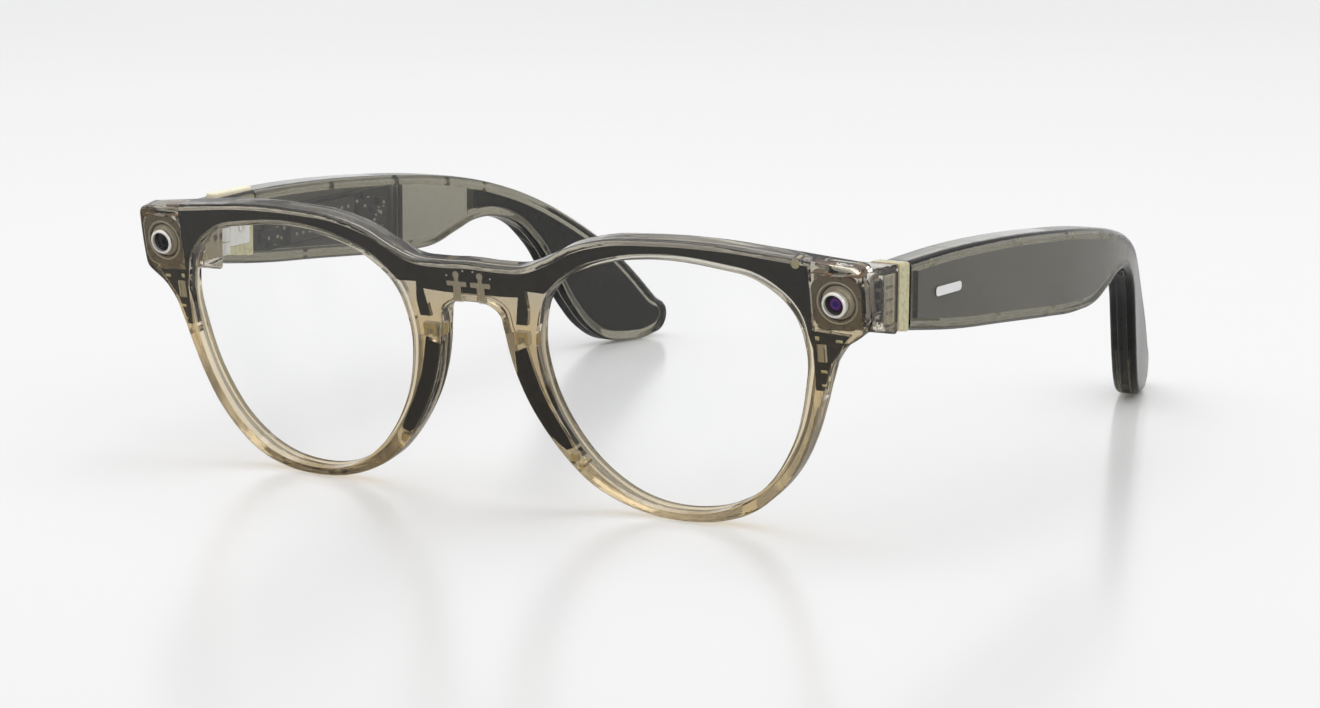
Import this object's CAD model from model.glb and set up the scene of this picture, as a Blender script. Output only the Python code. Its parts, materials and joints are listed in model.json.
import json
import math
import random

import bmesh
import bpy
from mathutils import Matrix, Vector
from mathutils.bvhtree import BVHTree


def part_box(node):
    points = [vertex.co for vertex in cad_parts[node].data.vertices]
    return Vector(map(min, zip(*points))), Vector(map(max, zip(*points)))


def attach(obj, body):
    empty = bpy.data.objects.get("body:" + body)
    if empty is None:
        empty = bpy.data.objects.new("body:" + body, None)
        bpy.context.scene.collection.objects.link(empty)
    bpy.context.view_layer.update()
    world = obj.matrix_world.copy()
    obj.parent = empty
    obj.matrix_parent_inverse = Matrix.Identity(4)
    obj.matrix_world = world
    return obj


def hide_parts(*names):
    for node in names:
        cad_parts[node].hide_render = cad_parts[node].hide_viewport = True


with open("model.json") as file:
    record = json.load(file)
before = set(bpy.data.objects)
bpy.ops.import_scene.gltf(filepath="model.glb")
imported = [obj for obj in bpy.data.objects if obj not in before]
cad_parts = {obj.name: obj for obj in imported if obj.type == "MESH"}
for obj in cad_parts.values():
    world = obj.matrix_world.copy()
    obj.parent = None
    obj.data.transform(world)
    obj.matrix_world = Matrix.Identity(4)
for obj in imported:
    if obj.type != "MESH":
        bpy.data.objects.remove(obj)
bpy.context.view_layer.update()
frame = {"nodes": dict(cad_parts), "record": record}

# Looks of the smart glasses. Pieces are made in millimetres and scaled to metres.
# +X is the wearer's left, the front faces -Y, +Z is up.
MM = 0.001
NODES = frame["nodes"]

# The front's own shape, as in the CAD: it leans forward and wraps to a radius.
LEAN = math.radians(10.8)
FACE_RADIUS = 470.0
MODULE = (66.6, 39.5)          # centre of the camera and of the capture light
PIN_PLACE = (13.5, 35.2)       # y and lowest z of a hinge pin, before the part is stood up

FADE = (27.0, 43.0)            # the front's resin turns from olive to grey between these heights
SMOOTH_UP_TO = 35.0            # edges sharper than this many degrees stay crisp
SIDES = (("left", 1), ("right", -1))

# Small parts of the front, as (u, v) or (u, v, width, height).
BRIDGE_PINS = ((1.0, 40.9), (4.3, 39.9))
LEG_CHIPS = ((63.6, 27.7, 0.9, 0.5), (64.3, 26.4, 0.5, 0.9), (63.4, 25.3, 0.6, 0.4),
             (66.6, 33.0, 1.2, 0.5), (62.9, 33.4, 0.7, 0.7))
HINGE_SCREW_HEIGHT = 39.2
HINGE_SCREW_RADIUS = 0.95
FRONT_SCREWS_Y = (6.6, 9.0)
TEMPLE_SCREWS_Y = (18.0, 22.5)

# Clips along a temple's panel as (y, 1 for the upper edge or -1 for the lower).
PANEL_CLIPS = ((22.0, 1), (47.0, -1), (56.0, 1), (71.0, -1), (79.0, 1), (84.0, -1), (97.0, 1),
               (103.0, -1), (109.0, 1))
TIP_GROOVE = (107.5, 152.0)    # from y to y

FLOOR_HALF = 4.0               # metres
FLOOR_MIRRORED = 0.30          # how light the floor is where the object mirrors it
BACKDROP = 0.88
SKY = ((0.0, (0.92, 0.92, 0.92)), (0.24, (0.88, 0.88, 0.88)), (0.36, (0.40, 0.40, 0.41)),
       (0.5, (0.45, 0.45, 0.46)), (0.64, (1.0, 1.0, 1.0)), (1.0, (1.05, 1.05, 1.05)))

CAMERA_PLACE = (0.32275, -0.59980, 0.13625)
CAMERA_AZIMUTH = 28.914
CAMERA_ELEVATION = 10.21
CAMERA_ROLL = 0.3535
CAMERA_LENS = 99.96
SENSOR = 36.0


def middle(node):
    low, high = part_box(node)
    return (low + high) / 2


SHIFT = Vector((0.0, middle("hinge_pin_left").y / MM - PIN_PLACE[0],
                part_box("hinge_pin_left")[0].z / MM - PIN_PLACE[1]))


def face_sag(u):
    return FACE_RADIUS - math.sqrt(FACE_RADIUS**2 - u**2)


def front_point(u, v, depth):
    """A point of the front: u across, v up and depth behind its curved face."""
    back = depth + face_sag(u)
    return Vector((u, back * math.cos(LEAN) - v * math.sin(LEAN),
                   v * math.cos(LEAN) + back * math.sin(LEAN))) + SHIFT


# ---------------------------------------------------------------- materials
def node_of(tree, kind, **values):
    node = tree.nodes.new(kind)
    for name, value in values.items():
        if hasattr(node, name):
            setattr(node, name, value)
        else:
            node.inputs[name.replace("_", " ")].default_value = value
    return node


def noise(tree, scale, detail=3.0, stretch=None):
    """Noise in the object's own space. Scale is in cells per metre."""
    place = node_of(tree, "ShaderNodeTexCoord")
    source = place.outputs["Object"]
    if stretch:
        mapping = node_of(tree, "ShaderNodeMapping")
        mapping.inputs["Scale"].default_value = stretch
        tree.links.new(source, mapping.inputs["Vector"])
        source = mapping.outputs["Vector"]
    made = node_of(tree, "ShaderNodeTexNoise", Scale=scale, Detail=detail)
    tree.links.new(source, made.inputs["Vector"])
    return made.outputs["Fac"]


def ramp(tree, source, stops):
    """Turns a value into a colour. Stops are (place, colour)."""
    made = node_of(tree, "ShaderNodeValToRGB")
    band = made.color_ramp
    while len(band.elements) < len(stops):
        band.elements.new(0.5)
    for element, (place, colour) in zip(band.elements, stops):
        element.position = place
        element.color = (*colour, 1.0)
    tree.links.new(source, made.inputs["Fac"])
    return made.outputs["Color"]


def ranged(tree, source, low, high):
    made = node_of(tree, "ShaderNodeMapRange")
    made.inputs["From Min"].default_value = 0.3
    made.inputs["From Max"].default_value = 0.7
    made.inputs["To Min"].default_value = low
    made.inputs["To Max"].default_value = high
    tree.links.new(source, made.inputs["Value"])
    return made.outputs["Result"]


def mixed(tree, factor, first, second):
    """The colour first, turned into the plain colour second as factor goes from 0 to 1."""
    made = node_of(tree, "ShaderNodeMix", data_type="RGBA")
    tree.links.new(factor, made.inputs["Factor"])
    tree.links.new(first, made.inputs["A"])
    made.inputs["B"].default_value = (*second, 1.0)
    return made.outputs["Result"]


def shade(colour, factor):
    return tuple(min(1.0, channel * factor) for channel in colour)


def surface(name, colour, roughness, spread=0.04, scale=900.0, grain=6000.0, bump=0.02,
            stretch=None, **sockets):
    """A solid material with mottled colour, uneven gloss and a fine bump."""
    material = bpy.data.materials.new(name)
    material.use_nodes = True
    tree = material.node_tree
    shader = tree.nodes["Principled BSDF"]
    broad = noise(tree, scale, 4.0, stretch)
    fine = noise(tree, grain, 2.0, stretch)
    tint = ramp(tree, broad, ((0.3, shade(colour, 1 - spread)), (0.7, shade(colour, 1 + spread))))
    tree.links.new(tint, shader.inputs["Base Color"])
    gloss = ranged(tree, broad, roughness * 0.85, min(1.0, roughness * 1.2))
    tree.links.new(gloss, shader.inputs["Roughness"])
    relief = node_of(tree, "ShaderNodeBump", Strength=bump, Distance=0.0001)
    tree.links.new(fine, relief.inputs["Height"])
    tree.links.new(relief.outputs["Normal"], shader.inputs["Normal"])
    for socket, value in sockets.items():
        shader.inputs[socket.replace("_", " ")].default_value = value
    return material


def clear(name, colour, upper=None, roughness=0.015, spread=0.03, ior=1.49, bump=0.01,
          shadow=0.35, gloss=0.38, density=0.0):
    """A transparent resin, fading to the colour upper between two heights if that is given.

    Its shadow is a tinted, lighter one than solid glass would give. With a density, it
    darkens where it is thick.
    """
    material = surface(name, colour, roughness, spread, scale=60.0, grain=350.0, bump=bump,
                       Transmission_Weight=1.0, IOR=ior, Specular_IOR_Level=gloss)
    tree = material.node_tree
    shader = tree.nodes["Principled BSDF"]
    if upper:
        place = node_of(tree, "ShaderNodeTexCoord")
        split = node_of(tree, "ShaderNodeSeparateXYZ")
        tree.links.new(place.outputs["Object"], split.inputs["Vector"])
        height = node_of(tree, "ShaderNodeMapRange", interpolation_type="SMOOTHSTEP")
        height.inputs["From Min"].default_value = FADE[0] * MM
        height.inputs["From Max"].default_value = FADE[1] * MM
        tree.links.new(split.outputs["Z"], height.inputs["Value"])
        mottled = shader.inputs["Base Color"].links[0].from_socket
        faded = mixed(tree, height.outputs["Result"], mottled, upper)
        tree.links.new(faded, shader.inputs["Base Color"])
    output = tree.nodes["Material Output"]
    path = node_of(tree, "ShaderNodeLightPath")
    see_through = node_of(tree, "ShaderNodeBsdfTransparent")
    tint = [shadow + (1 - shadow) * channel for channel in colour]
    see_through.inputs["Color"].default_value = (*tint, 1.0)
    mix = node_of(tree, "ShaderNodeMixShader")
    tree.links.new(path.outputs["Is Shadow Ray"], mix.inputs["Fac"])
    tree.links.new(shader.outputs["BSDF"], mix.inputs[1])
    tree.links.new(see_through.outputs["BSDF"], mix.inputs[2])
    tree.links.new(mix.outputs["Shader"], output.inputs["Surface"])
    if density:
        body = node_of(tree, "ShaderNodeVolumeAbsorption")
        body.inputs["Color"].default_value = (*colour, 1.0)
        body.inputs["Density"].default_value = density
        tree.links.new(body.outputs["Volume"], output.inputs["Volume"])
    return material


def coated_glass(name, centre):
    """Dark lens glass whose coating turns from blue in the middle to violet and black."""
    material = surface(name, (0.02, 0.01, 0.05), 0.08, bump=0.0, Specular_IOR_Level=0.2)
    tree = material.node_tree
    shader = tree.nodes["Principled BSDF"]
    place = node_of(tree, "ShaderNodeTexCoord")
    away = node_of(tree, "ShaderNodeVectorMath", operation="DISTANCE")
    away.inputs[1].default_value = centre * MM
    tree.links.new(place.outputs["Object"], away.inputs[0])
    scaled = node_of(tree, "ShaderNodeMath", operation="MULTIPLY")
    scaled.inputs[1].default_value = 1.0 / (1.6 * MM)
    tree.links.new(away.outputs["Value"], scaled.inputs[0])
    bands = ramp(tree, scaled.outputs["Value"], (
        (0.0, (0.015, 0.02, 0.09)), (0.3, (0.03, 0.02, 0.14)), (0.5, (0.14, 0.02, 0.22)),
        (0.68, (0.05, 0.01, 0.08)), (0.85, (0.01, 0.005, 0.015)), (1.0, (0.01, 0.01, 0.01))))
    tree.links.new(bands, shader.inputs["Base Color"])
    return material


FINISHES = {
    "clear_olive": clear("clear_olive", (0.78, 0.68, 0.50), upper=(0.70, 0.67, 0.60),
                         gloss=0.28),
    "clear_grey": clear("clear_grey", (0.74, 0.73, 0.68), shadow=0.5, gloss=0.2,
                        density=420.0),
    "lens_clear": clear("lens_clear", (0.99, 0.995, 0.995), roughness=0.0, bump=0.0, shadow=0.93,
                        gloss=0.3, ior=1.22),
    "charcoal": surface("charcoal", (0.05, 0.053, 0.06), 0.4, spread=0.15,
                        Specular_IOR_Level=0.15),
    "graphite_core": surface("graphite_core", (0.010, 0.010, 0.012), 0.3, spread=0.15, bump=0.004,
                             Specular_IOR_Level=0.12),
    "flex_copper": surface("flex_copper", (0.22, 0.125, 0.07), 0.35, spread=0.35, Metallic=0.4),
    "brass": surface("brass", (0.95, 0.87, 0.58), 0.2, Metallic=0.6, spread=0.1),
    "steel": surface("steel", (0.84, 0.83, 0.78), 0.24, Metallic=0.4, spread=0.06,
                     stretch=(1.0, 1.0, 0.15)),
    "ring_silver": surface("ring_silver", (0.96, 0.93, 0.86), 0.16, Metallic=0.45),
    "housing_taupe": surface("housing_taupe", (0.36, 0.31, 0.25), 0.3, Metallic=0.5, spread=0.1),
    "dark_glass": coated_glass("dark_glass", front_point(*MODULE, 0.0)),
    "champagne": surface("champagne", (0.55, 0.52, 0.33), 0.28, spread=0.08,
                         Subsurface_Weight=0.3, Subsurface_Scale=0.002),
    "core_grey": surface("core_grey", (0.78, 0.79, 0.73), 0.3, spread=0.12),
    "panel_grey": surface("panel_grey", (0.24, 0.237, 0.23), 0.42, spread=0.06, grain=9000.0,
                          bump=0.03, Specular_IOR_Level=0.3),
    "window_grey": surface("window_grey", (0.97, 0.95, 0.91), 0.4, spread=0.05, bump=0.03),
    "board_dark": surface("board_dark", (0.022, 0.022, 0.025), 0.35, spread=0.2, bump=0.03),
    "cream": surface("cream", (0.90, 0.85, 0.66), 0.3, Subsurface_Weight=0.25,
                     Subsurface_Scale=0.002),
    "contact_black": surface("contact_black", (0.016, 0.013, 0.012), 0.35, spread=0.2,
                             Specular_IOR_Level=0.3),
    "battery_silver": surface("battery_silver", (0.14, 0.14, 0.145), 0.4, Metallic=0.7,
                              spread=0.12, scale=500.0, bump=0.08),
    "speaker_black": surface("speaker_black", (0.022, 0.022, 0.024), 0.5, bump=0.05),
    "inlay_silver": surface("inlay_silver", (0.94, 0.94, 0.93), 0.2, Metallic=0.4,
                            stretch=(1.0, 0.15, 1.0)),
}


def dress_nodes():
    """Gives each CAD node its finish, smooth curves and a small rounding of hard edges."""
    soft_edges = {"steel": 0.08, "housing_taupe": 0.12, "brass": 0.1, "ring_silver": 0.05,
                  "champagne": 0.12, "core_grey": 0.1, "battery_silver": 0.25, "cream": 0.1,
                  "contact_black": 0.06, "inlay_silver": 0.1, "board_dark": 0.05,
                  "charcoal": 0.1, "graphite_core": 0.15, "window_grey": 0.1}
    for part in frame["record"]["subparts"]:
        node = NODES[part["node"]]
        slot = part["material_slot"]
        node.data.materials.clear()
        node.data.materials.append(FINISHES[slot])
        for face in node.data.polygons:
            face.use_smooth = True
        if slot in soft_edges:
            rounding = node.modifiers.new("rounding", "BEVEL")
            rounding.width = soft_edges[slot] * MM
            rounding.segments = 2
            rounding.limit_method = "ANGLE"
            rounding.angle_limit = math.radians(38)
            rounding.use_clamp_overlap = True


# ---------------------------------------------------------------- mesh helpers
def piece(name, mesh_data, finish, body, angle=SMOOTH_UP_TO):
    """A new visual piece from (vertices in millimetres, faces)."""
    vertices, faces = mesh_data
    mesh = bpy.data.meshes.new(name)
    mesh.from_pydata([tuple(Vector(v) * MM) for v in vertices], [], faces)
    mesh.materials.append(FINISHES[finish])
    work = bmesh.new()
    work.from_mesh(mesh)
    bmesh.ops.recalc_face_normals(work, faces=work.faces)
    work.to_mesh(mesh)
    work.free()
    for face in mesh.polygons:
        face.use_smooth = True
    mesh.set_sharp_from_angle(angle=math.radians(angle))
    made = bpy.data.objects.new(name, mesh)
    bpy.context.scene.collection.objects.link(made)
    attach(made, body)
    return made


def joined(parts):
    """Several (vertices, faces) as one."""
    vertices, faces = [], []
    for more_vertices, more_faces in parts:
        start = len(vertices)
        vertices += more_vertices
        faces += [tuple(start + i for i in face) for face in more_faces]
    return vertices, faces


def lathe(profile, place, steps=64, lobes=0, lobe_reach=0.0):
    """Turns a closed profile of (radius, height) round the Z axis of the matrix place.

    With lobes, points nearer the axis than lobe_reach wave in and out, as in a star recess.
    """
    vertices, faces = [], []
    count = len(profile)
    for step in range(steps):
        turn = 2 * math.pi * step / steps
        for radius, height in profile:
            wave = 1 + 0.22 * math.cos(lobes * turn) if lobes and radius < lobe_reach else 1
            flat = radius * wave
            vertices.append(place @ Vector((flat * math.cos(turn), flat * math.sin(turn), height)))
    for step in range(steps):
        other = (step + 1) % steps
        for i in range(count):
            j = (i + 1) % count
            faces.append((step * count + i, other * count + i, other * count + j,
                          step * count + j))
    return vertices, faces


def rounded_block(size, place, radius=0.12, segments=2):
    """A block with rounded edges, centred on the matrix place."""
    work = bmesh.new()
    bmesh.ops.create_cube(work, size=1.0)
    for vertex in work.verts:
        vertex.co = Vector(a * b for a, b in zip(vertex.co, size))
    reach = min(radius, min(size) * 0.45)
    bmesh.ops.bevel(work, geom=work.edges[:], offset=reach, segments=segments, profile=0.5,
                    affect="EDGES")
    vertices = [place @ vertex.co for vertex in work.verts]
    faces = [tuple(vertex.index for vertex in face.verts) for face in work.faces]
    work.free()
    return vertices, faces


def ribbon(points, across, width, thick):
    """A flat strip that follows points, with its width along the vector across."""
    vertices, faces = [], []
    side = Vector(across).normalized()
    for i, point in enumerate(points):
        ahead = points[min(i + 1, len(points) - 1)] - points[max(i - 1, 0)]
        up = ahead.normalized().cross(side).normalized()
        for a, b in ((-1, -1), (1, -1), (1, 1), (-1, 1)):
            vertices.append(point + side * (a * width / 2) + up * (b * thick / 2))
    for i in range(len(points) - 1):
        for j in range(4):
            k = (j + 1) % 4
            faces.append((4 * i + j, 4 * i + k, 4 * i + 4 + k, 4 * i + 4 + j))
    last = 4 * (len(points) - 1)
    faces.append((3, 2, 1, 0))
    faces.append((last, last + 1, last + 2, last + 3))
    return vertices, faces


def upright(origin, axis):
    """A matrix whose Z runs along axis and whose origin is the point origin."""
    axis = Vector(axis).normalized()
    helper = Vector((1, 0, 0)) if abs(axis.x) < 0.9 else Vector((0, 1, 0))
    second = axis.cross(helper).normalized()
    first = second.cross(axis)
    turn = Matrix((first, second, axis)).transposed().to_4x4()
    return Matrix.Translation(origin) @ turn


def flipped(mesh_data, side):
    """The same shape for the left (1), or mirrored for the right (-1)."""
    vertices, faces = mesh_data
    if side > 0:
        return vertices, faces
    return [Vector((-v[0], v[1], v[2])) for v in vertices], faces


class Skin:
    """Finds points on a CAD node's surface, in millimetres."""

    def __init__(self, node):
        mesh = NODES[node].data
        corners = [v.co / MM for v in mesh.vertices]
        self.tree = BVHTree.FromPolygons(corners, [tuple(p.vertices) for p in mesh.polygons])

    def hit(self, start, way):
        return self.tree.ray_cast(Vector(start), Vector(way).normalized())[0]


# ---------------------------------------------------------------- camera and light modules
def module_place(side):
    """The middle of a module's ring front, with Z into the glasses."""
    axis = Vector((0.0, math.cos(LEAN), math.sin(LEAN)))
    origin = front_point(MODULE[0], MODULE[1], -0.5)
    origin.x *= side
    return upright(origin, axis)


def make_module(name, side, glass_node):
    """What is seen in a module's mouth: cover glass, stepped baffle, lens element and rings."""
    place = module_place(side)
    dome = 5.0
    rim = 1.68
    cover = []
    for i in range(9):
        radius = rim * i / 8
        cover.append((radius, 0.25 + dome - math.sqrt(dome**2 - radius**2)))
    inside = [(radius, height + 0.3) for radius, height in reversed(cover)]
    window = piece(name + "_cover_glass", lathe(cover + inside, place), "lens_clear", "front")
    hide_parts(glass_node)

    steps = []
    for i in range(4):
        radius = rim - 0.1 * i
        steps += [(radius, 0.62 + 0.1 * i), (radius, 0.7 + 0.1 * i)]
    back = [(1.2, 2.15), (0.0, 2.15), (0.0, 2.4), (rim, 2.4)]
    piece(name + "_baffle", lathe(steps + back, place), "contact_black", "front", 20)

    element_radius = 1.36
    bulge = []
    for i in range(11):
        radius = element_radius * i / 10
        bulge.append((radius, 0.72 + 0.34 * (radius / element_radius) ** 2))
    element = bulge + [(element_radius, 1.9), (0.0, 1.9)]
    piece(name + "_element", lathe(element, place), "dark_glass", "front")

    ridges = []
    for i in range(11):
        radius = 2.27 + 0.06 * i
        ridges.append((radius, 1.54 + 0.45 * (i / 10) ** 2 + (0.05 if i % 2 else 0.0)))
    ridges += [(2.87, 2.4), (2.27, 2.4)]
    piece(name + "_bezel", lathe(ridges, place, 96), "ring_silver", "front", 20)

    groove = [(2.9, 2.0), (3.28, 2.0), (3.28, 2.4), (2.9, 2.4)]
    piece(name + "_groove", lathe(groove, place, 96), "contact_black", "front", 20)

    lip = [(3.52 + 0.22 * math.cos(a), 1.78 + 0.2 * math.sin(a))
           for a in [math.pi * i / 8 for i in range(16)]]
    piece(name + "_lip", lathe(lip, place, 96), "ring_silver", "front", 60)


# ---------------------------------------------------------------- pieces in the front
def make_module_flex(name, side):
    """The amber flexible circuit that is folded over the top of a module."""
    points = []
    for i in range(25):
        share = i / 24
        u = 62.4 + 8.2 * share
        v = 44.45 + 0.22 * math.sin(share * 9.0) - 0.6 * share
        points.append(front_point(u, v, 1.75 + 0.35 * math.sin(share * 6.0)))
    strip = ribbon(points, (0, 1, 0.2), 1.3, 0.12)
    piece(name + "_flex", flipped(strip, side), "flex_copper", "front")


def make_screw(place, radius):
    """A round screw head with a star recess. Z points out of the head."""
    profile = [(radius, 0.0), (radius, 0.16), (radius * 0.86, 0.27), (radius * 0.5, 0.3),
               (radius * 0.46, 0.3), (radius * 0.4, 0.12), (0.0, 0.12), (0.0, 0.0)]
    return lathe(profile, place, 48, 6, radius * 0.48)


def make_front_details(word, side):
    """Pins in the bridge, chips in the outer leg, and the hinge block's screws and rivets."""
    pins = []
    for u, v in BRIDGE_PINS:
        origin = front_point(u, v, 0.95)
        pins.append(lathe([(0.17, 0.0), (0.17, 0.12), (0.1, 0.17), (0.0, 0.17), (0.0, 0.0)],
                          upright(origin, front_point(u, v, 0.0) - origin), 24))
    piece("bridge_pins_" + word, flipped(joined(pins), side), "steel", "front")

    chips = []
    for u, v, width, height in LEG_CHIPS:
        turn = Matrix.Translation(front_point(u, v, 0.98)) @ Matrix.Rotation(LEAN, 4, "X")
        chips.append(rounded_block((width, 0.14, height), turn, 0.04))
    piece("leg_chips_" + word, flipped(joined(chips), side), "brass", "front")

    heads = []
    for y in FRONT_SCREWS_Y:
        origin = Vector((65.75, y, HINGE_SCREW_HEIGHT)) + SHIFT
        heads.append(make_screw(upright(origin, (1, 0, 0)), HINGE_SCREW_RADIUS))
    piece("leaf_screws_" + word, flipped(joined(heads), side), "steel", "front")

    rivets = []
    for column in range(3):
        for row in range(6):
            origin = Vector((71.0, 6.1 + 1.3 * column, 36.4 + 1.15 * row)) + SHIFT
            rivets.append(lathe([(0.16, 0.0), (0.16, 0.06), (0.08, 0.1), (0.0, 0.1), (0.0, 0.0)],
                                upright(origin, (1, 0, 0)), 16))
    piece("hinge_rivets_" + word, flipped(joined(rivets), side), "steel", "front")


# ---------------------------------------------------------------- pieces in the temples
def chip_field(board, side, spans, low, high, seed, count):
    """Components on the inner face of a board, in rows that keep clear of each other."""
    rng = random.Random(seed)
    skin = Skin(board)
    taken, blocks = [], {"contact_black": [], "brass": [], "steel": []}
    for _ in range(count * 12):
        if len(taken) >= count:
            break
        start, end = rng.choice(spans)
        length = rng.choice((0.6, 0.6, 1.0, 1.6, 2.6))
        height = length * rng.choice((0.5, 1.0)) if length < 1.5 else length * 0.8
        y = rng.uniform(start + length / 2, end - length / 2)
        z = rng.uniform(low + height / 2, high - height / 2)
        if any(abs(y - a) < (length + b) / 2 + 0.2 and abs(z - c) < (height + d) / 2 + 0.2
               for a, b, c, d in taken):
            continue
        found = skin.hit(Vector((40.0 * side, y, z)) + SHIFT, (side, 0, 0))
        if found is None:
            continue
        taken.append((y, length, z, height))
        thick = 0.3 if length < 1.5 else 0.45
        place = Matrix.Translation(found - Vector((side * thick / 2, 0, 0)))
        kind = "contact_black" if length > 0.9 else rng.choice(("brass", "steel"))
        blocks[kind].append(rounded_block((thick, length, height), place, 0.05))
    for kind, made in blocks.items():
        if made:
            body = "left_temple" if side > 0 else "right_temple"
            piece(board + "_chips_" + kind, joined(made), kind, body, 30)


def make_temple_details(word, side):
    """Clips along the panel's edges, the hinge leaf's screws and the grooves in the tip."""
    body = word + "_temple"
    panel = Skin("temple_panel_" + word)
    clips = []
    for y, edge in PANEL_CLIPS:
        level = 80.0 if edge > 0 else 0.0
        found = None
        for step in range(60):
            start = Vector((side * (68.0 + 0.1 * step), y, level)) + Vector((0, *SHIFT[1:]))
            found = panel.hit(start, (0, 0, -edge))
            if found is not None and abs(found.z - level) > 5:
                break
            found = None
        if found is None:
            continue
        place = Matrix.Translation(found + Vector((side * 0.15, 0, edge * 0.3)))
        clips.append(rounded_block((0.4, 1.7, 0.6), place, 0.12))
        clips.append(rounded_block((0.4, 0.5, 1.1), place, 0.1))
    piece("panel_clips_" + word, joined(clips), "champagne", body)

    heads = []
    for y in TEMPLE_SCREWS_Y:
        origin = Vector((side * 67.08, y, HINGE_SCREW_HEIGHT)) + SHIFT
        heads.append(make_screw(upright(origin, (-side, 0, 0)), HINGE_SCREW_RADIUS))
    piece("temple_leaf_screws_" + word, joined(heads), "steel", body)

    core = Skin("tip_core_" + word)
    for face, way in (("outer", -side), ("inner", side)):
        points = []
        for i in range(40):
            y = TIP_GROOVE[0] + (TIP_GROOVE[1] - TIP_GROOVE[0]) * i / 39
            x_guess = side * (71.0 - 0.32 * (y - 107.0)) - side * 2.6
            start = Vector((x_guess, y, 60.0)) + Vector((0, *SHIFT[1:]))
            top = core.hit(start, (0, 0, -1))
            low = core.hit(start - Vector((0, 0, 80)), (0, 0, 1))
            if top is None or low is None:
                continue
            level = top.z * 0.55 + low.z * 0.45
            found = core.hit((-way * 100.0, y + SHIFT.y, level), (way, 0, 0))
            if found is not None:
                points.append(found)
        if len(points) > 3:
            piece(f"tip_groove_{face}_{word}", ribbon(points, (0, 0.5, 0.8), 0.7, 0.1),
                  "contact_black", body)


def make_flex_run(name, side, board):
    """The flexible circuit from the hinge back to the first board of a temple."""
    points = []
    start = Vector((side * 69.4, 16.8, 40.6)) + SHIFT
    end = middle(board) / MM
    end = Vector((end.x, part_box(board)[0].y / MM + 0.6, end.z + 1.0))
    for i in range(20):
        share = i / 19
        eased = share * share * (3 - 2 * share)
        point = start.lerp(end, share)
        point.x = start.x + (end.x - start.x) * eased + side * 0.3 * math.sin(share * math.pi)
        points.append(point)
    body = "left_temple" if side > 0 else "right_temple"
    piece(name, ribbon(points, (0, 0, 1), 2.2, 0.12), "flex_copper", body)


def make_battery_wrap():
    """Two bands of amber tape and a pair of welded tabs on the cell."""
    low, high = (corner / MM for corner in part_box("battery_cell"))
    skin = Skin("battery_cell")
    bands = []
    for share in (0.08, 0.9):
        y = low.y + (high.y - low.y) * share
        points = []
        for i in range(15):
            z = low.z + 0.7 + (high.z - low.z - 1.4) * i / 14
            found = skin.hit((40.0, y, z), (1, 0, 0))
            if found is not None:
                points.append(found - Vector((0.05, 0, 0)))
        if len(points) > 3:
            bands.append(ribbon(points, (0, 1, 0), 2.4, 0.1))
    piece("battery_tape", joined(bands), "flex_copper", "left_temple")
    tabs = []
    for z in (36.0, 38.4):
        place = Matrix.Translation(Vector((high.x - 1.4, low.y - 0.2, z + SHIFT.z)))
        tabs.append(rounded_block((0.2, 1.4, 1.2), place, 0.05))
    piece("battery_tabs", joined(tabs), "steel", "left_temple")


def make_shield_dimples():
    """Ventilation dimples in the shield can over the processor."""
    low, high = (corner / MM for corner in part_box("shield_can"))
    skin = Skin("shield_can")
    spots = []
    for column in range(9):
        for row in range(3):
            y = low.y + (high.y - low.y) * (column + 1) / 10
            z = low.z + (high.z - low.z) * (row + 1) / 4
            found = skin.hit((-40.0, y, z), (-1, 0, 0))
            if found is None:
                continue
            spots.append(lathe([(0.34, 0.0), (0.3, 0.08), (0.18, 0.1), (0.0, 0.04), (0.0, 0.0)],
                               upright(found, (1, 0, 0)), 20))
    piece("shield_can_dimples", joined(spots), "steel", "right_temple")


# ---------------------------------------------------------------- floor, light and camera
def make_floor():
    """A plain pale floor, which looks darker in the object's own gloss, as in a light tent."""
    mesh = bpy.data.meshes.new("floor")
    corners = [(a * FLOOR_HALF, b * FLOOR_HALF, 0) for a, b in ((-1, -1), (1, -1), (1, 1), (-1, 1))]
    mesh.from_pydata(corners, [], [(0, 1, 2, 3)])
    floor = bpy.data.objects.new("floor", mesh)
    bpy.context.scene.collection.objects.link(floor)
    paint = surface("floor_paint", (0.86, 0.86, 0.863), 0.2, spread=0.004, scale=3.0, bump=0.0)
    tree = paint.node_tree
    shader = tree.nodes["Principled BSDF"]
    path = node_of(tree, "ShaderNodeLightPath")
    mirrored = node_of(tree, "ShaderNodeMath", operation="MINIMUM")
    mirrored.inputs[1].default_value = 1.0
    tree.links.new(path.outputs["Glossy Depth"], mirrored.inputs[0])
    plain = shader.inputs["Base Color"].links[0].from_socket
    seen = mixed(tree, mirrored.outputs["Value"], plain, [FLOOR_MIRRORED] * 3)
    tree.links.new(seen, shader.inputs["Base Color"])
    mesh.materials.append(paint)


def make_lamp(name, place, target, size, power, colour=(1.0, 1.0, 1.0)):
    light = bpy.data.lights.new(name, "AREA")
    light.shape = "RECTANGLE"
    light.size, light.size_y = size
    light.energy = power
    light.color = colour
    lamp = bpy.data.objects.new(name, light)
    bpy.context.scene.collection.objects.link(lamp)
    lamp.location = place
    lamp.rotation_mode = "QUATERNION"
    lamp.rotation_quaternion = (Vector(target) - Vector(place)).to_track_quat("-Z", "Y")


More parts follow.
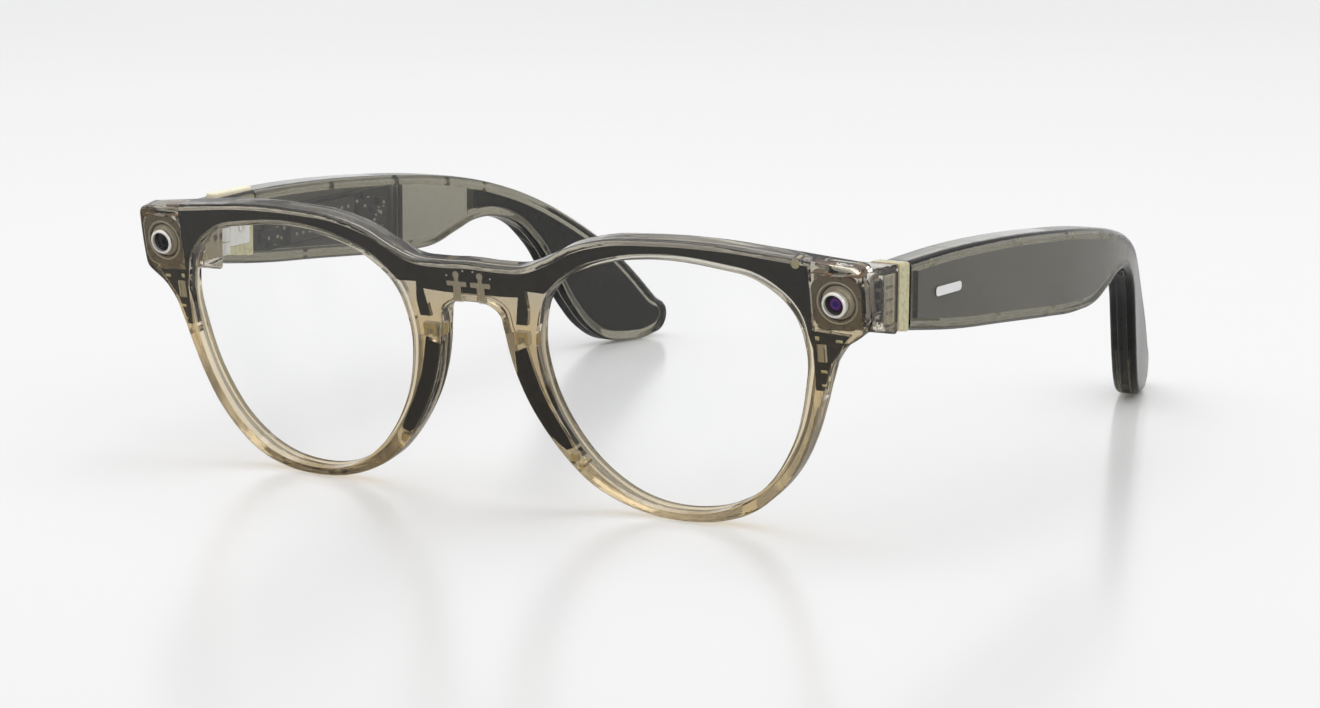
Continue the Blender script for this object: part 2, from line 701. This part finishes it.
def make_studio():
    """A pale backdrop, a dark band above the horizon for contrast, and two softboxes."""
    world = bpy.data.worlds.new("studio")
    bpy.context.scene.world = world
    world.use_nodes = True
    tree = world.node_tree
    back = tree.nodes["Background"]
    place = node_of(tree, "ShaderNodeTexCoord")
    split = node_of(tree, "ShaderNodeSeparateXYZ")
    tree.links.new(place.outputs["Generated"], split.inputs["Vector"])
    sky = ramp(tree, split.outputs["Z"], SKY)
    path = node_of(tree, "ShaderNodeLightPath")
    seen = mixed(tree, path.outputs["Is Camera Ray"], sky, [BACKDROP] * 3)
    tree.links.new(seen, back.inputs["Color"])
    back.inputs["Strength"].default_value = 1.0
    make_lamp("top_softbox", (-0.1, 0.1, 0.9), (0, 0, 0.02), (0.9, 0.6), 2.6)
    make_lamp("side_softbox", (0.9, -0.5, 0.55), (0, 0, 0.03), (0.5, 0.6), 0.9)


def make_camera():
    a = math.radians(CAMERA_AZIMUTH)
    e = math.radians(CAMERA_ELEVATION)
    back = Vector((math.sin(a) * math.cos(e), -math.cos(a) * math.cos(e), math.sin(e)))
    right = Vector((math.cos(a), math.sin(a), 0.0))
    up = back.cross(right)
    turn = Matrix((right, up, back)).transposed()
    turn = turn @ Matrix.Rotation(math.radians(CAMERA_ROLL), 3, "Z")
    data = bpy.data.cameras.new("camera")
    data.sensor_width = SENSOR
    data.lens = CAMERA_LENS
    data.clip_start = 0.05
    data.clip_end = 20.0
    camera = bpy.data.objects.new("camera", data)
    bpy.context.scene.collection.objects.link(camera)
    camera.matrix_world = Matrix.Translation(CAMERA_PLACE) @ turn.to_4x4()
    bpy.context.scene.camera = camera


make_camera()
make_studio()
make_floor()
dress_nodes()
make_module("camera", 1, "camera_glass")
make_module("light", -1, "light_window")
make_module_flex("camera", 1)
make_module_flex("light", -1)
for side_word, side_sign in SIDES:
    make_front_details(side_word, side_sign)
    make_temple_details(side_word, side_sign)
chip_field("main_board", -1, ((29.6, 39.4), (62.6, 74.4)), 33.8, 40.2, 7, 30)
chip_field("power_board", 1, ((28.4, 39.0),), 35.0, 41.4, 11, 18)
make_flex_run("main_board_flex", -1, "main_board")
make_flex_run("power_board_flex", 1, "power_board")
make_battery_wrap()
make_shield_dimples()

bpy.context.scene.view_settings.view_transform = "Standard"
bpy.context.scene.cycles.transparent_max_bounces = 24
